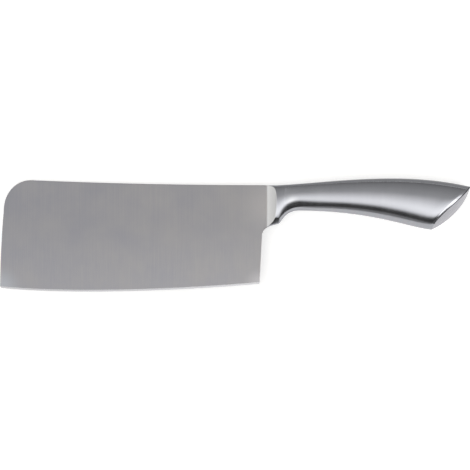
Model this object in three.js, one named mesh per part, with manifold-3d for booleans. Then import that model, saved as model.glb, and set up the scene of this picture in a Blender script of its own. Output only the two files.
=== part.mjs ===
// All-steel kitchen cleaver: a ground plate blade, a bolster and a hollow handle of two welded half shells.
// It lies on its side. +X runs to the butt, +Y to the spine and +Z out of the left face. Millimetres.
import * as THREE from 'three';
import { mergeVertices } from 'three/addons/utils/BufferGeometryUtils.js';
import Module from 'manifold-3d';

const wasm = await Module();
wasm.setup();

// Blade outline. X is measured from the top of the heel, Y from the spine where it meets the bolster.
const BLADE_LENGTH = 171.3;
const BLADE_THICKNESS = 2.2;
const SPINE_RISE = 3.2;
const CORNER_LENGTH = 18.3;
const CORNER_DEPTH = 19.5;
const FRONT_RAKE = 2.6;
const FRONT_BOW = 0.9;
const FRONT_DEPTH = 66.4;
const TIP_ROUND_LENGTH = 1.0;
const TIP_ROUND_DEPTH = 0.8;
const HEEL_DEPTH = 64.5;
const HEEL_RAKE = 1.6;
const BELLY_FRONT_REACH = 39.5;
const BELLY_FRONT_DROP = 4.1;
const BELLY_HEEL_REACH = 60;
const BELLY_HEEL_DROP = 5.3;

// Blade grind
const GRIND_HEIGHT = 34;
const BEVEL_HEIGHT = 1.2;
const BEVEL_THICKNESS = 0.56;
const EDGE_LAND = 0.12;

// Heel notch and knob under the bolster. A reach is how far a curve follows its end's own direction.
const NOTCH_DEPTH = 33.1;
const NOTCH_REACH = 4.1;
const KNOB_X = 11.1;
const KNOB_DEPTH = 25.5;
const KNOB_FRONT_REACH = 7.6;
const KNOB_FRONT_DROP = 1.1;
const KNOB_BACK_REACH = 2.2;
const KNOB_BACK_RISE = 2;

// Bolster flare and the weld in front of it
const BLADE_END_X = 1.0;
const WELD_WIDTH = 0.6;
const FLARE_RADIUS = 10.3;

// Handle outline
const NECK_X = 15;
const TOP_START_X = 8.9;
const TOP_START_REACH = 33;
const TOP_START_RISE = 1.5;
const TOP_END_REACH = 45;
const TOP_END_RISE = 10.7;
const HANDLE_TIP_X = 136;
const HANDLE_TIP_DROP = 0.9;
const THROAT_X = 25;
const THROAT_DEPTH = 16.75;
const THROAT_FRONT_REACH = 9.5;
const THROAT_BACK_REACH = 47;
const BUTT_CORNER_X = 110.8;
const BUTT_CORNER_DEPTH = 29.1;
const BELLY_END_REACH = 13.8;
const BELLY_END_RISE = 1.1;

// Butt: the rim of the cap, and the cap's own outline, which runs outside it between the same two ends
const RIM_TIP_REACH = 8;
const RIM_TIP_DROP = 10.4;
const RIM_CORNER_RISE = 7.1;
const CAP_TIP_REACH = 2.2;
const CAP_TIP_DROP = 11.7;
const CAP_CORNER_REACH = 11.4;
const CAP_CORNER_RISE = 5.1;

// Handle section: half thickness, and the shares of thickness and height at which its curves meet and pull
const NECK_HALF_THICKNESS = 4.6;
const BUTT_HALF_THICKNESS = 10.4;
const WIDEST_SHARE = 0.4;
const TOP_PULL = new THREE.Vector2(0.58, 0.008);
const TOP_ROUND_SHARE = 0.06;
const SIDE_FLAT_SHARE = 0.58;
const SIDE_PULL = new THREE.Vector2(0.9, 0.73);
const CREASE_SHARE = 0.83;
const CREASE_WIDTH_SHARE = 0.76;
const UNDER_PULL = new THREE.Vector2(0.58, 0.905);
const UNDER_FLAT_SHARE = 0.33;

// Behind the knob the crease rises by this share of the height, then sinks back along the handle.
// The underside is drawn in below it by so many times that share.
const CREASE_LIFT = 0.08;
const UNDER_DRAW = 1.3;
const LIFT_START_X = 9;
const LIFT_REACH = 8;

// Shells, cap and fill
const SHELL_WALL = 1.2;
const SEAM_WIDTH = 0.8;
const RING_WELD_WIDTH = 0.8;
const CLEARANCE = 0.3;
const TENON_LENGTH = 7;
const LIP_LENGTH = 3;
const FILL_GAP = 1;

// Fineness of the facets
const FACETS = {
  upper: 15, lower: 8, section: 24, shell: 26, fill: 14, flare: 7, knob: 4, tenon: 5, arc: 14,
  outline: 16, belly: 40,
};
const STATION_CROWDING = 0.45;
const DOME_SHARES = [1, 0.88, 0.75, 0.6, 0.44, 0.28, 0.12];

const BLADE_STEEL = { color: 0x97969a, roughness: 0.38, metalness: 1 };
const HANDLE_STEEL = { color: 0xa6a5a8, roughness: 0.27, metalness: 1 };
const WELD_STEEL = { color: 0x9e9da0, roughness: 0.32, metalness: 1 };
const SAND = { color: 0xb8a47e, roughness: 0.95, metalness: 0 };

const P = (x, y) => new THREE.Vector2(x, y);
const bezier = (a, b, c, d) => new THREE.CubicBezierCurve(a, b, c, d);
const part = new THREE.Group();

function addPiece(name, geometry, finish) {
  geometry.computeVertexNormals();
  const mesh = new THREE.Mesh(geometry, new THREE.MeshStandardMaterial(finish));
  mesh.name = name;
  part.add(mesh);
}

// A closed geometry with its faces turned outwards
function closed(points, faces) {
  let volume = 0;
  for (const [a, b, c] of faces) {
    volume += points[a].dot(new THREE.Vector3().crossVectors(points[b], points[c]));
  }
  const turned = volume < 0 ? faces.map(([a, b, c]) => [a, c, b]) : faces;
  const geometry = new THREE.BufferGeometry().setFromPoints(points);
  geometry.setIndex(turned.flat());
  return geometry;
}

// Quads between two rings of the same number of points, split alike on the left and right halves
function band(first, second, count) {
  const faces = [];
  for (let i = 0; i < count; i += 1) {
    const j = (i + 1) % count;
    if (i < count / 2) faces.push([first + i, first + j, second + j], [first + i, second + j, second + i]);
    else faces.push([first + i, first + j, second + i], [first + j, second + j, second + i]);
  }
  return faces;
}

// A solid through rings of points, closed at both ends with the given end faces
function loft(rings, ends) {
  const count = rings[0].length;
  const last = (rings.length - 1) * count;
  const faces = ends.map(([a, b, c]) => [a, c, b]);
  for (let k = 0; k < rings.length - 1; k += 1) {
    faces.push(...band(k * count, (k + 1) * count, count));
  }
  faces.push(...ends.map((face) => face.map((i) => last + i)));
  return closed(rings.flat(), faces);
}

// A solid through rings that come back to the first one
function hoop(rings) {
  const count = rings[0].length;
  const faces = [];
  for (let k = 0; k < rings.length; k += 1) {
    faces.push(...band(k * count, ((k + 1) % rings.length) * count, count));
  }
  return closed(rings.flat(), faces);
}

function toManifold(geometry) {
  const bare = geometry.clone();
  bare.deleteAttribute('normal');
  bare.deleteAttribute('uv');
  const merged = mergeVertices(bare, 1e-4);
  const vertProperties = new Float32Array(merged.attributes.position.array);
  const triVerts = new Uint32Array(merged.index.array);
  return new wasm.Manifold(new wasm.Mesh({ numProp: 3, vertProperties, triVerts }));
}

function toGeometry(solid) {
  const mesh = solid.getMesh();
  const geometry = new THREE.BufferGeometry();
  geometry.setAttribute('position', new THREE.Float32BufferAttribute(mesh.vertProperties, 3));
  geometry.setIndex([...mesh.triVerts]);
  return geometry;
}

// The point of a curve that runs along X, at a given X
function heightAt(curves, x) {
  const curve = curves.find((c) => x <= c.v3.x) ?? curves[curves.length - 1];
  let low = 0;
  let high = 1;
  for (let step = 0; step < 40; step += 1) {
    const middle = (low + high) / 2;
    if (curve.getPoint(middle).x < x) low = middle;
    else high = middle;
  }
  return curve.getPoint(low).y;
}

// Handle outline in side view: the spine line, then the notch, throat and belly below it
const notch = P(0, -NOTCH_DEPTH);
const knob = P(KNOB_X, -KNOB_DEPTH);
const throat = P(THROAT_X, -THROAT_DEPTH);
const tip = P(HANDLE_TIP_X, -HANDLE_TIP_DROP);
const corner = P(BUTT_CORNER_X, -BUTT_CORNER_DEPTH);
const from = (point, x, y) => P(point.x + x, point.y + y);
const topStart = P(TOP_START_X, 0);
const spineLine = [
  bezier(P(0, 0), P(0, 0), topStart, topStart),
  bezier(topStart, from(topStart, TOP_START_REACH, TOP_START_RISE),
    from(tip, -TOP_END_REACH, TOP_END_RISE), tip),
];
const underLine = [
  bezier(notch, from(notch, 0, NOTCH_REACH), from(knob, -KNOB_FRONT_REACH, -KNOB_FRONT_DROP), knob),
  bezier(knob, from(knob, KNOB_BACK_REACH, KNOB_BACK_RISE), from(throat, -THROAT_FRONT_REACH, 0), throat),
  bezier(throat, from(throat, THROAT_BACK_REACH, 0), from(corner, -BELLY_END_REACH, BELLY_END_RISE), corner),
];
const rimLine = bezier(tip, from(tip, -RIM_TIP_REACH, -RIM_TIP_DROP),
  from(corner, 0, RIM_CORNER_RISE), corner);
const buttLine = bezier(tip, from(tip, -CAP_TIP_REACH, -CAP_TIP_DROP),
  from(corner, CAP_CORNER_REACH, CAP_CORNER_RISE), corner);

// Half of the handle's section from top to bottom: share of the half thickness, share of the height
const widest = P(1, WIDEST_SHARE);
function sectionShares(lift) {
  const squeeze = 1 - lift / (CREASE_SHARE - WIDEST_SHARE);
  const raised = (share) => WIDEST_SHARE + (share - WIDEST_SHARE) * squeeze;
  const drawn = UNDER_DRAW * lift;
  const crease = P(CREASE_WIDTH_SHARE, CREASE_SHARE - lift);
  const curves = [
    bezier(P(0, 0), TOP_PULL, P(1, TOP_ROUND_SHARE), widest),
    bezier(widest, P(1, raised(SIDE_FLAT_SHARE)), P(SIDE_PULL.x, raised(SIDE_PULL.y)), crease),
    bezier(crease, from(UNDER_PULL, -drawn, -lift), P(UNDER_FLAT_SHARE - drawn, 1), P(0, 1)),
  ];
  return curves.flatMap((curve, k) => curve.getPoints(FACETS.section).slice(Math.sign(k)));
}
const CREASE_INDEX = 2 * FACETS.section;
const SEAM_Z = SEAM_WIDTH / 2;

function halfThickness(x) {
  const along = THREE.MathUtils.clamp((x - NECK_X) / (HANDLE_TIP_X - NECK_X), 0, 1);
  return NECK_HALF_THICKNESS + (BUTT_HALF_THICKNESS - NECK_HALF_THICKNESS) * Math.sin((along * Math.PI) / 2);
}

function creaseLift(x) {
  const along = Math.max(x - LIFT_START_X, 0) / LIFT_REACH;
  return CREASE_LIFT * along * Math.exp(1 - along);
}

// Even steps along a polyline, ends kept
function resample(line, count) {
  const lengths = [0];
  for (let i = 1; i < line.length; i += 1) lengths.push(lengths[i - 1] + line[i].distanceTo(line[i - 1]));
  const picked = [];
  for (let k = 0; k < count; k += 1) {
    const wanted = (lengths[line.length - 1] * k) / (count - 1);
    let i = 1;
    while (i < line.length - 1 && lengths[i] < wanted) i += 1;
    const share = (wanted - lengths[i - 1]) / (lengths[i] - lengths[i - 1]);
    picked.push(line[i - 1].clone().lerp(line[i], share));
  }
  return picked;
}

// Half a section from top to bottom, drawn smaller by the inset and ending at the seam: Z and height share
function halfShares(station, inset) {
  const width = station.half - inset;
  const height = station.height - 2 * inset;
  const line = sectionShares(station.lift).map((s) => P(s.x * width, inset + s.y * height));
  const upper = line.slice(0, CREASE_INDEX + 1);
  const under = line.slice(CREASE_INDEX).reverse();
  const trim = (side) => {
    const first = side.findIndex((point) => point.x > SEAM_Z);
    const share = (SEAM_Z - side[first - 1].x) / (side[first].x - side[first - 1].x);
    return [side[first - 1].clone().lerp(side[first], share).setX(SEAM_Z), ...side.slice(first)];
  };
  const flat = [
    ...resample(trim(upper), FACETS.upper),
    ...resample(trim(under), FACETS.lower).reverse().slice(1),
  ];
  return flat.map((point) => P(point.x, point.y / station.height));
}

// The same half section as points in space
function halfSection(station, inset) {
  return halfShares(station, inset).map((point) => {
    const side = station.at(point.y);
    return new THREE.Vector3(side.x, side.y, point.x);
  });
}

// An upright station, used from the bolster to the neck
function upright(x) {
  const top = P(x, heightAt(spineLine, x));
  const bottom = P(x, heightAt(underLine, x));
  const at = (share) => top.clone().lerp(bottom, share);
  return { at, height: top.distanceTo(bottom), half: halfThickness(x), lift: creaseLift(x) };
}

// A handle station: upright at the neck, leaning more and more until it lies along the butt's rim
const SHELL_X = NECK_X + RING_WELD_WIDTH;
function leaning(along) {
  const topX = THREE.MathUtils.lerp(SHELL_X, HANDLE_TIP_X, along);
  const bottomX = THREE.MathUtils.lerp(SHELL_X, BUTT_CORNER_X, along);
  const top = P(topX, heightAt(spineLine, topX));
  const bottom = P(bottomX, heightAt(underLine, bottomX));
  const at = (share) => {
    const bow = rimLine.getPoint(share).sub(tip.clone().lerp(corner, share)).multiplyScalar(along ** 3);
    return top.clone().lerp(bottom, share).add(bow);
  };
  return { at, height: top.distanceTo(bottom), half: halfThickness(topX), lift: creaseLift(topX) };
}

const mirrored = (points) => points.map((p) => new THREE.Vector3(p.x, p.y, -p.z));
const bothHalves = (near) => [...near, ...mirrored(near).reverse()];

// A whole ring round the handle
function wholeRing(station, inset) {
  return bothHalves(halfSection(station, inset));
}

// End faces of a ring whose second half runs back beside the first
function endFaces() {
  const count = FACETS.upper + FACETS.lower - 1;
  const beside = (i) => 2 * count - 1 - i;
  const faces = [];
  for (let i = 0; i < count - 1; i += 1) {
    faces.push([i, i + 1, beside(i + 1)], [i, beside(i + 1), beside(i)]);
  }
  return faces;
}

// Blade and its weld: one plate outline, ground from both faces towards the edge
const heel = P(-HEEL_RAKE, -HEEL_DEPTH);
const front = P(-BLADE_LENGTH, -FRONT_DEPTH);
const frontTop = P(-BLADE_LENGTH + FRONT_RAKE, SPINE_RISE - CORNER_DEPTH);
const edgeStart = from(front, TIP_ROUND_LENGTH, -TIP_ROUND_DEPTH);
const edgeLine = bezier(edgeStart, from(edgeStart, BELLY_FRONT_REACH, -BELLY_FRONT_DROP),
  from(heel, -BELLY_HEEL_REACH, -BELLY_HEEL_DROP), heel);
const BOLSTER_X = BLADE_END_X + WELD_WIDTH;

// A round corner's curve follows each end for this share of the corner's length
const ROUND_PULL = 0.57;

function plateSolid() {
  const hump = P(frontTop.x + CORNER_LENGTH, SPINE_RISE);
  const slope = (2 * SPINE_RISE) / -hump.x;
  const cornerStart = from(hump, -CORNER_LENGTH * ROUND_PULL, CORNER_LENGTH * ROUND_PULL * slope);
  const cornerEnd = from(frontTop, 0, CORNER_DEPTH * ROUND_PULL);
  const bow = frontTop.clone().lerp(front, 0.5).setX(frontTop.x - FRONT_RAKE / 2 - FRONT_BOW);
  const outline = new THREE.Shape();
  outline.moveTo(BOLSTER_X, 0);
  outline.lineTo(0, 0);
  outline.quadraticCurveTo(hump.x / 2, 0, hump.x, hump.y);
  outline.bezierCurveTo(cornerStart.x, cornerStart.y, cornerEnd.x, cornerEnd.y, frontTop.x, frontTop.y);
  outline.quadraticCurveTo(bow.x, bow.y, front.x, front.y);
  outline.quadraticCurveTo(front.x, edgeStart.y, edgeStart.x, edgeStart.y);
  for (const point of edgeLine.getPoints(FACETS.belly).slice(1)) outline.lineTo(point.x, point.y);
  for (const point of underLine[0].getPoints(FACETS.outline)) {
    if (point.x < BOLSTER_X) outline.lineTo(point.x, point.y);
  }
  outline.lineTo(BOLSTER_X, heightAt(underLine, BOLSTER_X));
  const plate = new THREE.ExtrudeGeometry(outline, {
    depth: BLADE_THICKNESS, curveSegments: FACETS.outline, bevelEnabled: false,
  });
  plate.translate(0, 0, -BLADE_THICKNESS / 2);
  return toManifold(plate);
}

// How far a cut runs past the steel that it takes away
const OVERRUN = 4;

// The steel ground away from the left face: a long shallow grind, then the steep edge bevel
function grindSolid() {
  const half = BLADE_THICKNESS / 2;
  const slope = (half - BEVEL_THICKNESS / 2) / (GRIND_HEIGHT - BEVEL_HEIGHT);
  const section = [
    P(GRIND_HEIGHT + OVERRUN, half + OVERRUN),
    P(-OVERRUN, half + OVERRUN),
    P(-OVERRUN, EDGE_LAND / 2),
    P(0, EDGE_LAND / 2),
    P(BEVEL_HEIGHT, BEVEL_THICKNESS / 2),
    P(GRIND_HEIGHT + OVERRUN, half + OVERRUN * slope),
  ];
  const edge = edgeLine.getPoints(FACETS.belly);
  const beyond = [from(edge[0], -OVERRUN, 0), ...edge, from(heel, OVERRUN, 0)];
  const rings = beyond.map((point) => section.map((s) => new THREE.Vector3(point.x, point.y + s.x, s.y)));
  return toManifold(loft(rings, THREE.ShapeUtils.triangulateShape(section, [])));
}

// A block that keeps everything between two X planes
function slab(fromX, toX) {
  const block = new THREE.BoxGeometry(toX - fromX, 4 * BLADE_LENGTH, 4 * BLADE_THICKNESS);
  block.translate((fromX + toX) / 2, 0, 0);
  return toManifold(block);
}

const plate = plateSolid();
const grind = grindSolid();
const farGrind = grind.mirror([0, 0, 1]);
const ground = plate.subtract(grind).subtract(farGrind);
addPiece('blade', toGeometry(ground.intersect(slab(-2 * BLADE_LENGTH, BLADE_END_X))), BLADE_STEEL);
addPiece('blade_weld', toGeometry(ground.intersect(slab(BLADE_END_X, BOLSTER_X))), WELD_STEEL);

// Bolster: the handle's section carried forward, hollowed on both sides to the blade, with a tenon behind
const TENON_INSET = SHELL_WALL + CLEARANCE;
function steps(first, last, count) {
  return Array.from({ length: count + 1 }, (_, k) => first + ((last - first) * k) / count);
}
const bolsterX = [...steps(BOLSTER_X, KNOB_X, FACETS.flare), ...steps(KNOB_X, NECK_X, FACETS.knob).slice(1)];
const bolsterBody = toManifold(loft(bolsterX.map((x) => wholeRing(upright(x), 0)), endFaces()));
const flareZ = BLADE_THICKNESS / 2 + FLARE_RADIUS;
const flareOutline = new THREE.Shape();
flareOutline.moveTo(BOLSTER_X, FLARE_RADIUS - flareZ);
flareOutline.absarc(BOLSTER_X, -flareZ, FLARE_RADIUS, Math.PI / 2, 0, true);
flareOutline.lineTo(NECK_X + OVERRUN, -flareZ);
flareOutline.lineTo(NECK_X + OVERRUN, flareZ);
flareOutline.lineTo(BOLSTER_X + FLARE_RADIUS, flareZ);
flareOutline.absarc(BOLSTER_X, flareZ, FLARE_RADIUS, 0, -Math.PI / 2, true);
const flareBlock = new THREE.ExtrudeGeometry(flareOutline, {
  depth: NOTCH_DEPTH + 2 * OVERRUN, curveSegments: FACETS.arc, bevelEnabled: false,
});
flareBlock.rotateX(Math.PI / 2);
flareBlock.translate(0, OVERRUN, 0);
const tenonX = steps(NECK_X - CLEARANCE, NECK_X + TENON_LENGTH, FACETS.tenon);
const tenon = toManifold(loft(tenonX.map((x) => wholeRing(upright(x), TENON_INSET)), endFaces()));
addPiece('bolster', toGeometry(bolsterBody.intersect(toManifold(flareBlock)).add(tenon)), HANDLE_STEEL);

// Neck weld: a ring between the bolster's shoulder and the mouth of the shells
const shoulder = upright(NECK_X);
const mouth = upright(SHELL_X);
addPiece('neck_weld', hoop([
  wholeRing(shoulder, 0),
  wholeRing(mouth, 0),
  wholeRing(mouth, SHELL_WALL),
  wholeRing(shoulder, SHELL_WALL),
]), WELD_STEEL);

// Handle shells: two pressed halves, mirror images of each other
const RIM_LENGTH = HANDLE_TIP_X - SHELL_X;
const SHELL_END = 1 - RING_WELD_WIDTH / RIM_LENGTH;
const crowded = (share) => share * (1 - STATION_CROWDING + STATION_CROWDING * share);
const shellStations = steps(0, 1, FACETS.shell - 1).map((share) => leaning(SHELL_END * crowded(share)));
const shellRings = shellStations.map((station) => [
  ...halfSection(station, 0),
  ...halfSection(station, SHELL_WALL).reverse(),
]);
addPiece('handle_shell_left', loft(shellRings, endFaces()), HANDLE_STEEL);
addPiece('handle_shell_right', loft(shellRings.map(mirrored), endFaces()), HANDLE_STEEL);

// Seam welds: narrow runs that fill the gap between the shells along the top and the underside
function seamRings(index) {
  return shellStations.map((station) => {
    const outer = halfSection(station, 0).at(index);
    const inner = halfSection(station, SHELL_WALL).at(index);
    return [outer, inner, ...mirrored([inner, outer])];
  });
}
const SEAM_ENDS = [[0, 1, 2], [0, 2, 3]];
addPiece('spine_seam_weld', loft(seamRings(0), SEAM_ENDS), WELD_STEEL);
addPiece('belly_seam_weld', loft(seamRings(-1), SEAM_ENDS), WELD_STEEL);

// Butt weld: a ring between the ends of the shells and the cap
const shellEnd = leaning(SHELL_END);
const rim = leaning(1);
addPiece('butt_weld', hoop([
  wholeRing(shellEnd, 0),
  wholeRing(shellEnd, SHELL_WALL),
  wholeRing(rim, SHELL_WALL),
  wholeRing(rim, 0),
]), WELD_STEEL);

// Butt cap: domed across the handle's thickness, with a lip that locates it inside the shells
const lipEnd = leaning(1 - LIP_LENGTH / RIM_LENGTH);
function domeRing(across) {
  const rise = 1 - across ** 2;
  return bothHalves(halfShares(rim, 0).map((point) => {
    const side = rim.at(point.y).lerp(buttLine.getPoint(point.y), rise);
    return new THREE.Vector3(side.x, side.y, point.x * across);
  }));
}
addPiece('butt_cap', loft([
  wholeRing(lipEnd, TENON_INSET),
  wholeRing(rim, TENON_INSET),
  wholeRing(rim, SHELL_WALL),
  ...DOME_SHARES.map(domeRing),
], endFaces()), HANDLE_STEEL);

// Sand ballast: fills the hollow between the tenon and the cap's lip
const FILL_START = (NECK_X + TENON_LENGTH + CLEARANCE - SHELL_X) / (BUTT_CORNER_X - SHELL_X);
const FILL_END = 1 - (LIP_LENGTH + FILL_GAP) / RIM_LENGTH;
const fillStations = steps(FILL_START, FILL_END, FACETS.fill - 1).map(leaning);
const fillRings = fillStations.map((station) => wholeRing(station, TENON_INSET));
addPiece('sand_ballast', loft(fillRings, endFaces()), SAND);

// The cleaver lies on its right side: centred in X and Y, its lowest point at Z = 0
const box = new THREE.Box3().setFromObject(part);
const middle = box.getCenter(new THREE.Vector3());
part.position.set(-middle.x, -middle.y, -box.min.z);
const cleaver = new THREE.Group();
cleaver.name = 'cleaver';
cleaver.add(part);
cleaver.updateMatrixWorld(true);

export default cleaver;
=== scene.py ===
import math

import bpy
import numpy as np
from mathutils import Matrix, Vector


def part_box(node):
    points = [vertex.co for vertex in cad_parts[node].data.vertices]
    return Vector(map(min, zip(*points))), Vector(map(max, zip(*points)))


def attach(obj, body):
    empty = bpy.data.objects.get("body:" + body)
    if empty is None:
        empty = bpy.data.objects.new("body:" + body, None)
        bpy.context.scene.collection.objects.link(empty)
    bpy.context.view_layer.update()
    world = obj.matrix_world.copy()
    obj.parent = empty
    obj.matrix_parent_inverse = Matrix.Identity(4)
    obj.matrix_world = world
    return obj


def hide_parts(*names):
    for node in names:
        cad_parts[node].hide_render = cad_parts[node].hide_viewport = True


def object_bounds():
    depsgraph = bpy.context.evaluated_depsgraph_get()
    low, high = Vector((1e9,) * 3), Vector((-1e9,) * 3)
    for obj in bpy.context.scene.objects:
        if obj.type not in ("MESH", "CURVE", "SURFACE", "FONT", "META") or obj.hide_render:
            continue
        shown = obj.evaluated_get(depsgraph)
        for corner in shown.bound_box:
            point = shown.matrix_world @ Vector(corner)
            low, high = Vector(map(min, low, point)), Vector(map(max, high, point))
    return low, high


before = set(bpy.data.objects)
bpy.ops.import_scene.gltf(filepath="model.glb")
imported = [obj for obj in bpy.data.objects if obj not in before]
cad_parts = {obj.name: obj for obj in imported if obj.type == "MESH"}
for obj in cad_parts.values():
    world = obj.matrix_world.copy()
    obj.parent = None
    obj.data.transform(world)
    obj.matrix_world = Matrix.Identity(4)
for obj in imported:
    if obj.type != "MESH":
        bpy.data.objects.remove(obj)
cad_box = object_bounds()

# Camera: straight above the cleaver, which lies on its side, with the spine at the top of the picture.
# A long lens keeps both ends of the handle at one scale.
low, high = cad_box
mid_plane = (low.z + high.z) / 2
camera_height = 1.2
sensor_width = 36
camera = bpy.data.objects.new("camera", bpy.data.cameras.new("camera"))
camera.data.sensor_width = sensor_width
camera.data.lens = sensor_width * camera_height / (high.x - low.x)
camera.location = ((low.x + high.x) / 2, (low.y + high.y) / 2, mid_plane + camera_height)
bpy.context.scene.collection.objects.link(camera)
bpy.context.scene.camera = camera
bpy.context.scene.view_settings.view_transform = "Standard"


# Floor: a sheet of white photographer's paper under the cleaver. It is tilted to touch the handle and the
# blade's front end, the two places that the cleaver really rests on.
def linear(hex_colour):
    """An sRGB hex colour as linear RGBA."""
    parts = [int(hex_colour[i:i + 2], 16) / 255 for i in (1, 3, 5)]
    return [c / 12.92 if c <= 0.04045 else ((c + 0.055) / 1.055) ** 2.4 for c in parts] + [1.0]


def add(tree, kind, settings=None, inputs=None):
    """One node of a kind, with its settings, and its sockets set to values or linked to outputs."""
    made = tree.nodes.new(kind)
    for name, value in (settings or {}).items():
        setattr(made, name, value)
    for name, value in (inputs or {}).items():
        if isinstance(value, bpy.types.NodeSocket):
            tree.links.new(value, made.inputs[name])
        else:
            made.inputs[name].default_value = value
    return made


def empty_tree(owner):
    """The node tree of a material or world, with nothing in it yet."""
    owner.use_nodes = True
    owner.node_tree.nodes.clear()
    return owner.node_tree


blade_low, blade_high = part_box("blade")
handle_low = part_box("handle_shell_right")[0]
handle_rest_x = 0.125
floor_slope = (blade_low.z - handle_low.z) / (handle_rest_x - blade_low.x)
floor_gap = 0.00006
floor_half = 12.0
floor_corners = [(x, y, (handle_rest_x - x) * floor_slope - floor_gap)
                 for x, y in ((-floor_half, -floor_half), (floor_half, -floor_half),
                              (floor_half, floor_half), (-floor_half, floor_half))]
floor_mesh = bpy.data.meshes.new("floor")
floor_mesh.from_pydata(floor_corners, [], [(0, 1, 2, 3)])
floor = bpy.data.objects.new("floor", floor_mesh)
bpy.context.scene.collection.objects.link(floor)

# Matt white paper: an even pale ground that still takes the soft shadow of the steel. The eye sees it with a
# little fill light. The steel mirrors it lit on the softbox's side, and falling into shade past the spine.
lit_paper, shaded_paper, fill_strength = 0.80, 0.36, 0.46
shade_start, shade_end = 0.034, 0.046
paper = bpy.data.materials.new("matt_white_paper")
tree = empty_tree(paper)
path = add(tree, "ShaderNodeLightPath")
spot = add(tree, "ShaderNodeNewGeometry")
spot = add(tree, "ShaderNodeSeparateXYZ", {}, {0: spot.outputs["Position"]})
shade = add(tree, "ShaderNodeMapRange", {},
            {"Value": spot.outputs["Y"], "From Min": shade_start, "From Max": shade_end,
             "To Min": lit_paper, "To Max": shaded_paper})
reflected = add(tree, "ShaderNodeEmission", {}, {"Color": linear("#ffffff"), "Strength": shade.outputs[0]})
matt = add(tree, "ShaderNodeBsdfDiffuse", {}, {"Color": linear("#f4f4f4")})
fill_light = add(tree, "ShaderNodeMath", {"operation": "MULTIPLY"},
                 {0: path.outputs["Is Camera Ray"], 1: fill_strength})
glow = add(tree, "ShaderNodeEmission", {}, {"Color": linear("#ffffff"), "Strength": fill_light.outputs[0]})
seen = add(tree, "ShaderNodeAddShader", {}, {0: matt.outputs[0], 1: glow.outputs[0]})
mirrored = add(tree, "ShaderNodeMath", {"operation": "MAXIMUM"},
               {0: path.outputs["Is Glossy Ray"], 1: path.outputs["Is Transmission Ray"]})
both = add(tree, "ShaderNodeMixShader", {},
           {0: mirrored.outputs[0], 1: seen.outputs[0], 2: reflected.outputs[0]})
add(tree, "ShaderNodeOutputMaterial", {}, {"Surface": both.outputs[0]})
floor_mesh.materials.append(paper)

# Studio: a dim ceiling, one long softbox on the edge side of the knife with a black flag beyond it, white
# panels past both ends, a low grey wall past the butt, and a white backdrop where the paper ends. Angles are
# degrees from straight up towards the edge side. X and Z are parts of a direction, from -1 to 1.
ceiling_curve = ((-90, 0.15), (-72, 0.25), (-30, 0.36), (-12, 0.45), (0, 0.52), (19, 0.40), (28.5, 0.16),
                 (34.5, 0.045), (45, 0.035), (52, 0.065), (59, 0.10), (66, 0.13), (80, 0.20), (90, 0.30))
softbox_near, softbox_far = (-11.0, 16.0), (21.5, 32.0)
front_panel_x, butt_panel_x = (-0.20, -0.40), (0.84, 0.97)
wall_x, wall_z, backdrop_z = (0.42, 0.55), (0.42, 0.32), (0.06, 0.01)
wall_strength, butt_strength, backdrop_strength = 0.34, 1.15, 1.0
world = bpy.data.worlds.new("studio")
bpy.context.scene.world = world
tree = empty_tree(world)
towards = add(tree, "ShaderNodeTexCoord")
axes = add(tree, "ShaderNodeSeparateXYZ", {}, {0: towards.outputs["Generated"]})
edgewards = add(tree, "ShaderNodeMath", {"operation": "MULTIPLY"}, {0: axes.outputs["Y"], 1: -1.0})
angle = add(tree, "ShaderNodeMath", {"operation": "ARCTAN2"}, {0: edgewards.outputs[0], 1: axes.outputs["Z"]})
angle = add(tree, "ShaderNodeMath", {"operation": "DEGREES"}, {0: angle.outputs[0]})
share = add(tree, "ShaderNodeMapRange", {},
            {"Value": angle.outputs[0], "From Min": -180.0, "From Max": 180.0})
ceiling = add(tree, "ShaderNodeValToRGB", {}, {"Fac": share.outputs[0]})
stops = ceiling.color_ramp.elements
while len(stops) < len(ceiling_curve):
    stops.new(0.5)
for stop, (degrees, strength) in zip(stops, ceiling_curve):
    stop.position = degrees / 360 + 0.5
    stop.color = (strength, strength, strength, 1)
softbox_rise, softbox_fall, front_panel, butt_panel, wall_start, wall_top, backdrop = [
    add(tree, "ShaderNodeMapRange", {"interpolation_type": "SMOOTHSTEP"},
        {"Value": across, "From Min": start, "From Max": end}).outputs[0]
    for across, (start, end) in (
        (angle.outputs[0], softbox_near), (angle.outputs[0], softbox_far),
        (axes.outputs["X"], front_panel_x), (axes.outputs["X"], butt_panel_x),
        (axes.outputs["X"], wall_x), (axes.outputs["Z"], wall_z), (axes.outputs["Z"], backdrop_z))]
softbox = add(tree, "ShaderNodeMath", {"operation": "SUBTRACT"}, {0: softbox_rise, 1: softbox_fall})
end_wall = add(tree, "ShaderNodeMath", {"operation": "MULTIPLY"}, {0: wall_start, 1: wall_top})
panels = add(tree, "ShaderNodeMath", {"operation": "MAXIMUM"}, {0: front_panel, 1: butt_panel})
# The softbox is hung nearer the handle's end, so it falls off towards the blade's front. The front panel is
# brightest at its near edge.
softbox_x, softbox_strengths = (-0.06, 0.03), (0.88, 1.22)
front_x, front_strengths = (-0.95, -0.45), (1.08, 1.30)
softbox_along, front_along = [
    add(tree, "ShaderNodeMapRange", {}, {"Value": axes.outputs["X"], "From Min": start, "From Max": end,
                                         "To Min": dim, "To Max": bright}).outputs[0]
    for (start, end), (dim, bright) in ((softbox_x, softbox_strengths), (front_x, front_strengths))]
studio_light = add(tree, "ShaderNodeMath", {"operation": "MULTIPLY_ADD"},
                   {0: softbox.outputs[0], 1: softbox_along, 2: ceiling.outputs["Color"]})
for amount, strength in ((end_wall.outputs[0], wall_strength), (front_panel, front_along),
                         (butt_panel, butt_strength), (backdrop, backdrop_strength)):
    studio_light = add(tree, "ShaderNodeMix", {"data_type": "FLOAT"},
                       {0: amount, 2: studio_light.outputs[0], 3: strength})
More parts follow.
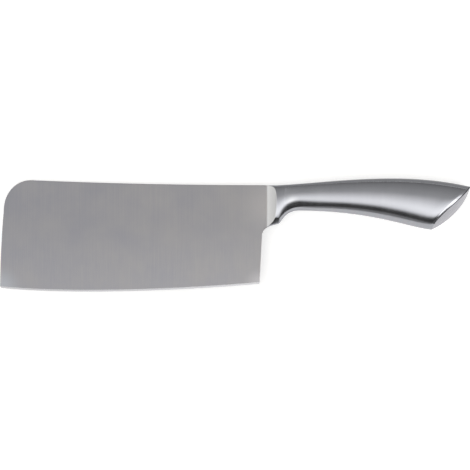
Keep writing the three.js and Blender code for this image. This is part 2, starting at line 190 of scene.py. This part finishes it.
tone = add(tree, "ShaderNodeMix", {"data_type": "RGBA"},
           {0: panels.outputs[0], 6: linear("#ffffff"), 7: linear("#fffdf6")})
studio_sky = add(tree, "ShaderNodeBackground", {},
                 {"Color": tone.outputs[2], "Strength": studio_light.outputs[0]})
add(tree, "ShaderNodeOutputWorld", {}, {"Surface": studio_sky.outputs[0]})
# A small square lamp hangs near the butt, close enough that only the rim there catches it.
lamp_strength = 2.3
lit_rim = Vector((0.141, 0.020, 0.019))
butt_lamp = bpy.data.objects.new("butt_lamp", bpy.data.lights.new("butt_lamp", "AREA"))
butt_lamp.data.size = 0.05
butt_lamp.data.energy = lamp_strength * math.pi * butt_lamp.data.size ** 2
butt_lamp.visible_camera = False
butt_lamp.location = (0.1935, -0.0325, 0.09)
butt_lamp.rotation_euler = (lit_rim - butt_lamp.location).to_track_quat("-Z", "Y").to_euler()
bpy.context.scene.collection.objects.link(butt_lamp)


# Blade: one stamped plate of stainless steel, ground from both faces to a shallow wedge, with a steep edge
# bevel. Sizes are in millimetres from the spine at the top of the heel, as the part's own drawing has them.
MM = 0.001
weld_low, weld_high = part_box("blade_weld")
blade_end = 1.0
origin = Vector((weld_low.x - blade_end * MM, weld_high.y, (weld_low.z + weld_high.z) / 2))
blade_half = (weld_high.z - weld_low.z) / 2 / MM
blade_length = (origin.x - blade_low.x) / MM
blade_columns = 154
blade_rows = 36


def bezier(a, b, c, d, steps):
    """Points of a cubic curve."""
    t = np.linspace(0, 1, steps)[:, None]
    a, b, c, d = (np.array(p, float) for p in (a, b, c, d))
    return (1 - t) ** 3 * a + 3 * (1 - t) ** 2 * t * b + 3 * (1 - t) * t ** 2 * c + t ** 3 * d


def arc(a, b, c, steps):
    """Points of a quadratic curve."""
    t = np.linspace(0, 1, steps)[:, None]
    return (1 - t) ** 2 * np.array(a) + 2 * (1 - t) * t * np.array(b) + t ** 2 * np.array(c)


def spaced(line, shares):
    """Points of a polyline at shares of its length."""
    line = np.asarray(line, float)
    run = np.concatenate([[0], np.cumsum(np.linalg.norm(np.diff(line, axis=0), axis=1))])
    at = np.asarray(shares) * run[-1]
    return np.stack([np.interp(at, run, line[:, k]) for k in range(line.shape[1])], axis=1)


def height_at(line, x):
    """Height of a line that runs along the knife, at a place in X."""
    return np.interp(x, line[:, 0], line[:, 1])


def from_where(line, measures, value):
    """A polyline from the place where a measure of its points first passes a value."""
    first = int(np.argmax(measures > value))
    share = (value - measures[first - 1]) / (measures[first] - measures[first - 1])
    return np.vstack([[line[first - 1] + (line[first] - line[first - 1]) * share], line[first:]])


def make_piece(name, points, faces, node, material, sharp_angle=30):
    """A closed piece from points in millimetres, riding on the knife in place of its solid."""
    mesh = bpy.data.meshes.new(name)
    placed = np.clip(np.asarray(points) * MM + np.array(origin), np.array(low), np.array(high))
    mesh.from_pydata(placed.tolist(), [], faces)
    mesh.validate()
    mesh.shade_smooth()
    mesh.set_sharp_from_angle(angle=math.radians(sharp_angle))
    mesh.materials.append(material)
    made = bpy.data.objects.new(name, mesh)
    bpy.context.scene.collection.objects.link(made)
    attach(made, "root")
    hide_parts(node)
    return made


spine_rise, corner_length, corner_depth = 3.2, 18.3, 19.5
front_rake, front_bow, front_depth = 2.6, 0.9, 66.4
tip_reach, tip_drop, tip_round = 1.0, 0.8, 0.3
round_pull = 0.57
heel = np.array((-1.6, -64.5))
notch = np.array((0.0, -33.1))
knob = np.array((11.1, -25.5))
edge_front_pull, edge_heel_pull = (39.5, -4.1), (-60, -5.3)
notch_pull, knob_pull = (0, 4.1), (-7.6, -1.1)
grind_start, bevel_height = 42, 1.2
bevel_half, edge_land = 0.28, 0.06
front = np.array((-blade_length, -front_depth))
front_top = np.array((-blade_length + front_rake, spine_rise - corner_depth))
edge_start = front + (tip_reach, -tip_drop)
hump = np.array((front_top[0] + corner_length, spine_rise))
edge_line = bezier(edge_start, edge_start + edge_front_pull, heel + edge_heel_pull, heel, 400)
notch_line = bezier(notch, notch + notch_pull, knob + knob_pull, knob, 200)


def blade_sides():
    """The four sides of the blade's face: edge, top, heel end and front end."""
    slope = 2 * spine_rise / -hump[0]
    spine = arc((0, 0), (hump[0] / 2, 0), hump, 300)
    corner = bezier(hump, hump + np.array((-1, slope)) * corner_length * round_pull,
                    front_top + (0, corner_depth * round_pull), front_top, 200)
    top = np.vstack([[(blade_end, 0)], spine, corner[1:]])
    bow = (front_top[0] - front_rake / 2 - front_bow, (front_top[1] + front[1]) / 2)
    end = arc(front, bow, front_top, 200)
    tip = bezier(edge_start, (front[0] + tip_round, edge_start[1]), (front[0], edge_start[1] + tip_round),
                 front, 30)
    weld_bottom = (blade_end, height_at(notch_line, blade_end))
    heel_end = np.vstack([[heel], notch_line[notch_line[:, 0] < blade_end], [weld_bottom], [(blade_end, 0)]])
    return edge_line[::-1], top, heel_end, np.vstack([tip, end[1:]])


def face_depth(point):
    """How far the blade's face stands off the middle plane above the bevel: a shallow grind, easing out."""
    up = point[1] - height_at(edge_line, point[0])
    ground = np.clip((grind_start - up) / (grind_start - bevel_height), 0, 1)
    return blade_half - (blade_half - bevel_half) * ground ** 2


def past_bevel(side):
    """An end of the blade from the shoulder of the bevel upwards."""
    return from_where(side, side[:, 1] - side[0, 1], bevel_height)


# Columns and rows crowd at the ends of the plate, where its edges are broken with a file.
broken_edge = 0.18
column_shares = np.concatenate([[0, broken_edge / blade_length], np.linspace(0, 1, blade_columns - 2)[1:-1],
                                [1 - broken_edge / blade_length, 1]])
row_shares = np.concatenate([np.linspace(0, 1, blade_rows - 1)[:-1], [1 - broken_edge / front_depth, 1]])
edge_side, top_side, heel_side, front_side = blade_sides()
lower = spaced(edge_side, column_shares)
shoulder = lower + (0, bevel_height)
upper = spaced(top_side, column_shares)
heel_up = spaced(past_bevel(heel_side), row_shares)
front_up = spaced(past_bevel(front_side), row_shares)
shoulder[0], shoulder[-1] = heel_up[0], front_up[0]
across = column_shares[:, None, None]
upwards = row_shares[None, :, None]
patch = ((1 - upwards) * shoulder[:, None] + upwards * upper[:, None]
         + (1 - across) * heel_up[None] + across * front_up[None]
         - (1 - upwards) * (1 - across) * heel_up[0] - (1 - upwards) * across * front_up[0]
         - upwards * (1 - across) * heel_up[-1] - upwards * across * front_up[-1])
grid = np.concatenate([lower[:, None], patch], axis=1)
grid_rows = blade_rows + 1
blade_points, blade_faces = [], []
for side in (1, -1):
    for column in range(blade_columns):
        for row in range(grid_rows):
            x, y = grid[column, row]
            depth = (edge_land, bevel_half)[row] if row < 2 else face_depth((x, y))
            if row == grid_rows - 1 or (row > 1 and column in (0, blade_columns - 1) and x < 0):
                depth -= broken_edge
            blade_points.append((x, y, side * depth))
far = blade_columns * grid_rows
for column in range(blade_columns - 1):
    for row in range(grid_rows - 1):
        a, b = column * grid_rows + row, (column + 1) * grid_rows + row
        blade_faces.append((a, a + 1, b + 1, b))
        blade_faces.append((far + a, far + b, far + b + 1, far + a + 1))
rim = ([c * grid_rows for c in range(blade_columns)]
       + [(blade_columns - 1) * grid_rows + r for r in range(1, grid_rows)]
       + [c * grid_rows + grid_rows - 1 for c in range(blade_columns - 2, -1, -1)]
       + [r for r in range(grid_rows - 2, 0, -1)])
for a, b in zip(rim, rim[1:] + rim[:1]):
    blade_faces.append((a, b, far + b, far + a))

# Stainless steel ground on a belt from spine to edge: an even grey satin with fine straight lines across the
# blade and faint clouds. All lines are drawn 0.3 to 0.5 mm wide, coarser than grit leaves them, so they show.
cloud_mm = 16
spread_low, spread_high = 0.6, 1.4
drift_share, rough_share = 0.3, 0.04
line_depth = 0.00004


def ground_steel(name, colour, roughness, line_mm, length_mm, strength, lines_along, drift=None, painted_highlights=()):
    """Stainless steel with lines along some axes, a slow drift of tone in X that paints shading, and painted
    highlights: spots painted brighter.
    """
    steel = bpy.data.materials.new(name)
    tree = empty_tree(steel)
    place = add(tree, "ShaderNodeTexCoord")
    fine, long = 1 / (line_mm * MM), 1 / (length_mm * MM)
    stretch = add(tree, "ShaderNodeMapping", {},
                  {"Vector": place.outputs["Object"],
                   "Scale": [long if axis in lines_along else fine for axis in "XYZ"]})
    lines = add(tree, "ShaderNodeTexNoise", {},
                {"Vector": stretch.outputs[0], "Scale": 1.0, "Detail": 3.0, "Roughness": 0.6})
    clouds = add(tree, "ShaderNodeTexNoise", {},
                 {"Vector": place.outputs["Object"], "Scale": 1 / (cloud_mm * MM), "Detail": 2.0})
    spread = add(tree, "ShaderNodeMath", {"operation": "ADD"},
                 {0: lines.outputs["Fac"], 1: clouds.outputs["Fac"]})
    tint_share = add(tree, "ShaderNodeMapRange", {},
                     {"Value": spread.outputs[0], "From Min": spread_low, "From Max": spread_high})
    # Painted shading: the tint drifts along X from the first colour towards the second.
    if drift:
        axes = add(tree, "ShaderNodeSeparateXYZ", {}, {0: place.outputs["Object"]})
        along = add(tree, "ShaderNodeMapRange", {},
                    {"Value": axes.outputs["X"], "From Min": drift[0], "From Max": drift[1],
                     "To Min": -drift_share, "To Max": drift_share})
        tint_share = add(tree, "ShaderNodeMath", {"operation": "ADD"},
                         {0: along.outputs[0], 1: tint_share.outputs[0]})
    tint = add(tree, "ShaderNodeMix", {"data_type": "RGBA"},
               {0: tint_share.outputs[0], 6: linear(colour[0]), 7: linear(colour[1])})
    # Painted highlights: near each spot the tint is mixed towards a brighter colour.
    for spot, reach, bright in painted_highlights:
        away = add(tree, "ShaderNodeVectorMath", {"operation": "DISTANCE"},
                   {0: place.outputs["Object"], 1: spot})
        near = add(tree, "ShaderNodeMapRange", {"interpolation_type": "SMOOTHSTEP"},
                   {"Value": away.outputs["Value"], "From Min": reach, "From Max": 0.0})
        tint = add(tree, "ShaderNodeMix", {"data_type": "RGBA"},
                   {0: near.outputs[0], 6: tint.outputs[2], 7: linear(bright)})
    rough = add(tree, "ShaderNodeMapRange", {},
                {"Value": spread.outputs[0], "From Min": spread_low, "From Max": spread_high,
                 "To Min": roughness - rough_share, "To Max": roughness + rough_share})
    bump = add(tree, "ShaderNodeBump", {},
               {"Height": lines.outputs["Fac"], "Strength": strength, "Distance": line_depth})
    shader = add(tree, "ShaderNodeBsdfPrincipled", {},
                 {"Base Color": tint.outputs[2], "Metallic": 1.0, "Roughness": rough.outputs[0],
                  "Normal": bump.outputs[0]})
    add(tree, "ShaderNodeOutputMaterial", {}, {"Surface": shader.outputs[0]})
    return steel


# Painted highlights: the satin is painted brighter at both ends of the edge and beside the bolster.
blade_painted_highlights = [(origin + Vector((x, y, 0)) * MM, reach, bright) for x, y, reach, bright in (
    (front[0], front[1], 0.016, "#adb0b6"), (heel[0], heel[1], 0.012, "#bab8ba"),
    (4.0, -14.0, 0.022, "#b2afaf"))]
# Painted shading: the drift makes the blade darker and bluer at its front, and lighter and warmer towards the
# bolster.
blade_steel = ground_steel("belt_ground_stainless_steel", ("#99999f", "#a6a4a5"), roughness=0.34, line_mm=0.5,
                           length_mm=60, strength=0.12, lines_along="Y",
                           drift=(blade_low.x, blade_high.x), painted_highlights=blade_painted_highlights)
blade = make_piece("ground_blade", blade_points, blade_faces, "blade", blade_steel,
                   sharp_angle=8)
# Stainless steel honed on a fine stone: a thin bright line along the edge, smoother than the blade's face.
edge_steel = ground_steel("stone_honed_stainless_steel", ("#c0c0c3", "#cccccd"), roughness=0.2, line_mm=0.3,
                          length_mm=20, strength=0.05, lines_along="Y")
blade.data.materials.append(edge_steel)
for column in range(blade_columns - 1):
    for side in (0, 1):
        blade.data.polygons[2 * column * (grid_rows - 1) + side].material_index = 1


# Weld between the blade and the bolster: a butt weld of the same stainless steel. It is ground flush on the
# blade's belt, so it only carries the blade's own section and satin across the joint.
def rings_piece(rings, ends):
    """Points and faces of a solid through rings, closed at both ends or joined round to the first ring."""
    count = len(rings[0])
    total = len(rings)
    faces = []
    for k in range(total if not ends else total - 1):
        here, there = k * count, (k + 1) % total * count
        faces += [(here + i, here + (i + 1) % count, there + (i + 1) % count, there + i)
                  for i in range(count)]
    if ends:
        last = (total - 1) * count
        half = count // 2 - 1
        faces += [(count - 1 - i, count - 2 - i, i + 1, i) for i in range(half)]
        faces += [(last + i, last + i + 1, last + count - 2 - i, last + count - 1 - i) for i in range(half)]
    return np.vstack(rings), faces


weld_rows = 20
bolster_front = blade_end + (weld_high.x - weld_low.x) / MM


def weld_ring(x):
    """The blade's plain section at a place near the bolster."""
    down = np.linspace(0, height_at(notch_line, x), weld_rows)
    near = [(x, y, blade_half) for y in down]
    return np.array(near + [(x, y, -blade_half) for y in down[::-1]])


weld_rings = [weld_ring(x) for x in (blade_end, (blade_end + bolster_front) / 2, bolster_front)]
weld_points, weld_faces = rings_piece(weld_rings, True)
make_piece("flush_blade_weld", weld_points, weld_faces, "blade_weld", blade_steel)


# Bolster: a forged collar, hollow-ground on both sides from the handle's thickness down to the blade, with a
# knob below that stops the finger. A tenon behind it sits in the mouth of the handle.
neck_x, flare_radius = 15.0, 10.3
tenon_steps = (0.0, 1.4, 3.0, 5.0, 7.0)
top_start = np.array((8.9, 0.0))
handle_tip = np.array((136.0, -0.9))
throat = np.array((25.0, -16.75))
butt_corner = np.array((110.8, -29.1))
neck_half, butt_half = 4.6, 10.4
shell_wall, clearance, seam_half = 1.2, 0.3, 0.4
tenon_inset = shell_wall + clearance
upper_points, lower_points = 44, 22
top_pulls = (33, 1.5), (-45, 10.7)
knob_back_pull, throat_pulls, corner_pull = (2.2, 2.0), ((-9.5, 0), (47, 0)), (-13.8, 1.1)
rim_pulls, butt_pulls = ((-8, -10.4), (0, 7.1)), ((-2.2, -11.7), (11.4, 5.1))
handle_top = bezier(top_start, top_start + top_pulls[0], handle_tip + top_pulls[1], handle_tip, 600)
knob_back = bezier(knob, knob + knob_back_pull, throat + throat_pulls[0], throat, 300)
belly = bezier(throat, throat + throat_pulls[1], butt_corner + corner_pull, butt_corner, 600)
top_line = np.vstack([[(0, 0)], handle_top])
under_line = np.vstack([notch_line, knob_back[1:], belly[1:]])
rim_line = bezier(handle_tip, handle_tip + rim_pulls[0], butt_corner + rim_pulls[1], butt_corner, 400)
butt_line = bezier(handle_tip, handle_tip + butt_pulls[0], butt_corner + butt_pulls[1], butt_corner, 400)

# The section's points as shares of half thickness and of height, and how far some move in the neck, where the
# side turns under earlier behind the knob.
top_pull, top_round = (0.58, 0.008), (1, 0.06)
widest, side_hold = (1, 0.4), (1, 0.58)
side_pull, side_shift = np.array((0.9, 0.73)), np.array((-0.045, -0.045))
crease, crease_shift = np.array((0.76, 0.83)), np.array((-0.18, 0.035))
under_pull, under_shift = np.array((0.58, 0.905)), np.array((-0.18, 0.004))
belly_pull, belly_shift = np.array((0.33, 1.0)), np.array((-0.13, -0.045))
neck_turn_start, neck_turn_reach = 9.0, 8.0
section_steps = 120


def half_at(x):
    """Half the handle's thickness at a place along its top."""
    along = min(max((x - neck_x) / (handle_tip[0] - neck_x), 0), 1)
    return neck_half + (butt_half - neck_half) * math.sin(along * math.pi / 2)


def half_section(x, height, inset):
    """Half of the handle's section at a place along its top, from seam to seam: depth and share of height."""
    behind_knob = max(x - neck_turn_start, 0) / neck_turn_reach
    neck = behind_knob * math.exp(1 - behind_knob)
    turn = crease + crease_shift * neck
    upper = bezier((0, 0), top_pull, top_round, widest, section_steps)
    side = bezier(widest, side_hold, side_pull + side_shift * neck, turn, section_steps)
    under = bezier(turn, under_pull + under_shift * neck, belly_pull + belly_shift * neck, (0, 1),
                   section_steps)
    line = np.vstack([upper, side[1:], under[1:]])
    line = line * (half_at(x) - inset, height - 2 * inset) + (0, inset)
    turn_at = len(upper) + len(side) - 2
    above, below = [spaced(from_where(part, part[:, 0], seam_half), np.linspace(0, 1, count))
                    for part, count in ((line[:turn_at + 1], upper_points),
                                        (line[turn_at:][::-1], lower_points))]
    return np.vstack([above, below[::-1][1:]]) / (1, height)


def upright(x, inset=0.0):
    """Half a ring in an upright plane, used from the bolster to the neck."""
    top, bottom = height_at(top_line, x), height_at(under_line, x)
    flat = half_section(x, top - bottom, inset)
    return np.stack([np.full(len(flat), x), top + (bottom - top) * flat[:, 1], flat[:, 0]], axis=1)


def whole(half):
    """A whole ring from its left half."""
    return np.vstack([half, (half * (1, 1, -1))[::-1]])


def flare_at(x):
    """How far the hollow flare stands off the middle plane."""
    along = np.minimum(x - bolster_front, flare_radius)
    return blade_half + flare_radius - np.sqrt(flare_radius ** 2 - along ** 2)


bolster_grid = np.linspace(bolster_front, neck_x, 60)
bolster_halves = np.array([upright(x) for x in bolster_grid])
flare_depth = flare_at(bolster_grid)


def bolster_half(share):
    """Half a ring of the bolster: up the hollow flare to its crease at 1, then along the collar's surface."""
    half = []
    for line in bolster_halves.transpose(1, 0, 2):
        under = flare_depth < line[:, 2]
        last = int(np.argmin(under)) if not under.all() else len(under) - 1
        gap = (flare_depth - line[:, 2])[last - 1:last + 1]
        crease_x = bolster_front if last == 0 else np.interp(0, gap, bolster_grid[last - 1:last + 1])
        if share <= 1:
            x = bolster_front + (crease_x - bolster_front) * share
            z = min(flare_at(x), np.interp(x, bolster_grid, line[:, 2]))
        else:
            x = crease_x + (neck_x - crease_x) * (share - 1)
            z = np.interp(x, bolster_grid, line[:, 2])
        half.append((x, np.interp(x, bolster_grid, line[:, 1]), z))
    return np.array(half)


# Rings stand close together on both sides of the crease, so that it stays crisp.
flare_shares = np.concatenate([np.linspace(0, 0.96, 22), [1, 1.03], np.linspace(1, 2, 16)[1:]])
bolster_rings = [whole(bolster_half(s)) for s in flare_shares]
bolster_rings += [whole(upright(neck_x + step, tenon_inset)) for step in tenon_steps]
bolster_points, bolster_faces = rings_piece(bolster_rings, True)
# Stainless steel brushed round the handle on a soft wheel: bright, with blurred reflections and very fine
# lines, and a painted highlight: a spot painted brighter on the neck, where the finger bears.
neck_painted_highlight = (origin + Vector((19.5, -11.0, neck_half)) * MM, 0.006, "#d8d9dc")
handle_steel = ground_steel("wheel_brushed_stainless_steel", ("#babbc0", "#c3c4c9"), roughness=0.17,
                            line_mm=0.35, length_mm=30, strength=0.05, lines_along="YZ", painted_highlights=[neck_painted_highlight])
bolster = make_piece("hollow_ground_bolster", bolster_points, bolster_faces, "bolster",
                     handle_steel, sharp_angle=70)
# The belt that grinds the blade runs out on the start of the flare, which takes the blade's own satin there.
# Its darker grey also paints the slight shade line where the blade meets the bolster.
belt_run_out_and_shade_line = 1.6
bolster.data.materials.append(blade_steel)
for face in bolster.data.polygons:
    if face.center.x < origin.x + (bolster_front + belt_run_out_and_shade_line) * MM:
        face.material_index = 1


# Weld round the neck: a ring run of stainless steel that joins the bolster to both handle shells. It is
# polished away to the surface on the handle's own wheel, so no line shows.
neck_low, neck_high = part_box("neck_weld")
shell_x = neck_x + (neck_high.x - neck_low.x) / MM
neck_rings = [whole(upright(x, inset)) for x, inset in (
    (neck_x, 0), ((neck_x + shell_x) / 2, 0), (shell_x, 0), (shell_x, shell_wall), (neck_x, shell_wall))]
neck_points, neck_faces = rings_piece(neck_rings, False)
make_piece("flush_neck_weld", neck_points, neck_faces, "neck_weld", handle_steel)


# Handle shells: two half shells pressed from stainless sheet, mirror images that meet at the seams above and
# below. Each station starts upright at the neck and leans over until it lies along the rim of the butt.
shell_stations, station_crowding = 110, 0.3
handle_length = handle_tip[0] - shell_x
ring_weld = 0.7
shell_end = 1 - ring_weld / handle_length
bow_growth = 3
# The shells round off towards the rim, and the weld drops from them to the cap: millimetres back from the
# rim, how far in the surface is there, and a power that spreads this from the middle to both ends of the rim.
rim_back = (0.0, ring_weld, 2.3, 2.9, 3.9, 5.2, 8.0)
rim_in = (1.76, 0.88, 0.26, 0.16, 0.1, 0.05, 0.0)
rim_spread = 0.6
even_stations_end = 9.0
rim_stations = (8.0, 6.8, 5.8, 5.2, 4.5, 3.9, 3.4, 2.9, 2.3, 1.5, ring_weld)


def at_shares(line, shares):
    """Points of a curve at shares of its steps."""
    at = np.linspace(0, 1, len(line))
    return np.stack([np.interp(shares, at, line[:, k]) for k in (0, 1)], axis=1)


def leaning(along, inset=0.0):
    """Half a ring at a share of the handle's length, leaning with the butt and rounded off near its rim."""
    top_x = shell_x + handle_length * along
    bottom_x = shell_x + (butt_corner[0] - shell_x) * along
    top = np.array((top_x, height_at(top_line, top_x)))
    bottom = np.array((bottom_x, height_at(under_line, bottom_x)))
    flat = half_section(top_x, np.linalg.norm(bottom - top), inset)
    share = flat[:, 1:2]
    chord = handle_tip + (butt_corner - handle_tip) * share
    bow = (at_shares(rim_line, flat[:, 1]) - chord) * along ** bow_growth
    side = top + (bottom - top) * share + bow
    middle = np.clip(4 * flat[:, 1] * (1 - flat[:, 1]), 0, 1) ** rim_spread
    inwards = np.interp((1 - along) * handle_length, rim_back, rim_in) / butt_half * middle
    return np.column_stack([side, flat[:, 0] * (1 - inwards)])


steps = np.linspace(0, 1, shell_stations)
along_shell = ((1 - even_stations_end / handle_length) * steps
               * (1 - station_crowding + station_crowding * steps))
along_shell = np.concatenate([along_shell, 1 - np.array(rim_stations) / handle_length])
outer_halves = [leaning(a) for a in along_shell]
inner_halves = [leaning(a, shell_wall) for a in along_shell]
for name, side in (("left", 1), ("right", -1)):
    rings = [np.vstack([o, i[::-1]]) * (1, 1, side) for o, i in zip(outer_halves, inner_halves)]
    points, faces = rings_piece(rings, True)
    make_piece("handle_half_" + name, points, faces if side > 0 else [f[::-1] for f in faces],
               "handle_shell_" + name, handle_steel)


# Seam welds: a narrow run of stainless steel along the top of the handle and one along its underside, which
# close the two shells. Both are dressed flush and brushed with the shells.
for name, end in (("spine", 0), ("belly", -1)):
    rings = [np.array([o[end], i[end], i[end] * (1, 1, -1), o[end] * (1, 1, -1)])
             for o, i in zip(outer_halves, inner_halves)]
    points, faces = rings_piece(rings, True)
    make_piece("flush_" + name + "_seam", points, faces, name + "_seam_weld", handle_steel)


# Weld round the butt: a ring run of stainless steel that joins the cap to the shells. It is sunk below them.
butt_rings = [whole(leaning(1 - back / handle_length)) for back in (ring_weld, ring_weld / 2, 0.0)]
butt_rings += [whole(leaning(1, shell_wall)), whole(leaning(shell_end, shell_wall))]
butt_points, butt_faces = rings_piece(butt_rings, False)
# Painted shade: the sunk weld is painted a dull dark grey, as the shade in the joint between the bright
# shells and the cap.
painted_shade_weld_steel = ground_steel("shade_painted_stainless_weld", ("#3c3c40", "#48484c"), roughness=0.45, line_mm=0.3,
                          length_mm=3, strength=0.1, lines_along="XY")
butt_weld = make_piece("sunk_butt_weld", butt_points, butt_faces, "butt_weld", painted_shade_weld_steel)
# Under the crease the run takes the shells' brushed steel, without the painted shade.
butt_weld.data.materials.append(handle_steel)
ring_points = len(butt_rings[0])
for face in butt_weld.data.polygons:
    if upper_points <= face.index % ring_points < ring_points - upper_points:
        face.material_index = 1


# Butt cap: pressed from stainless sheet and domed across the handle's thickness. A lip inside the shells
# locates it, and the ring weld holds it.
lip_length = 3
dome_power, dome_rings, ridge_share = 1.7, 24, 0.03


def dome(share):
    """Half a ring of the dome, from the rim at 1 towards its ridge at 0."""
    rim = leaning(1)
    flat = half_section(handle_tip[0], np.linalg.norm(butt_corner - handle_tip), 0)
    ridge = at_shares(butt_line, flat[:, 1])
    return np.column_stack([rim[:, :2] + (ridge - rim[:, :2]) * (1 - share ** dome_power), rim[:, 2] * share])


cap_rings = [whole(leaning(along, inset)) for along, inset in
             ((1 - lip_length / handle_length, tenon_inset), (1, tenon_inset), (1, shell_wall))]
cap_rings += [whole(dome(s)) for s in np.linspace(1, ridge_share, dome_rings)]
cap_points, cap_faces = rings_piece(cap_rings, True)
# Stainless steel brushed lengthways: a pale grey with short fine lines that run along the cap.
cap_steel = ground_steel("lengthways_brushed_stainless_steel", ("#c8c7cc", "#d5d4d9"), roughness=0.26,
                         line_mm=0.4, length_mm=12, strength=0.08, lines_along="XY")
make_piece("domed_butt_cap", cap_points, cap_faces, "butt_cap", cap_steel)


# Sand: dry silica sand sealed inside the hollow handle, which balances the blade. It is poured in before the
# cap is welded on, and it doesn't show. Its grains give a speckled, matt ochre.
grain_mm = 0.4
sand = bpy.data.materials.new("dry_silica_sand")
tree = empty_tree(sand)
place = add(tree, "ShaderNodeTexCoord")
grains = add(tree, "ShaderNodeTexVoronoi", {},
             {"Vector": place.outputs["Object"], "Scale": 1 / (grain_mm * MM)})
tint = add(tree, "ShaderNodeMix", {"data_type": "RGBA"},
           {0: grains.outputs["Distance"], 6: linear("#c9b68f"), 7: linear("#a58d62")})
shader = add(tree, "ShaderNodeBsdfPrincipled", {}, {"Base Color": tint.outputs[2], "Roughness": 0.95})
add(tree, "ShaderNodeOutputMaterial", {}, {"Surface": shader.outputs[0]})
sand_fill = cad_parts["sand_ballast"]
sand_fill.data.materials.clear()
sand_fill.data.materials.append(sand)
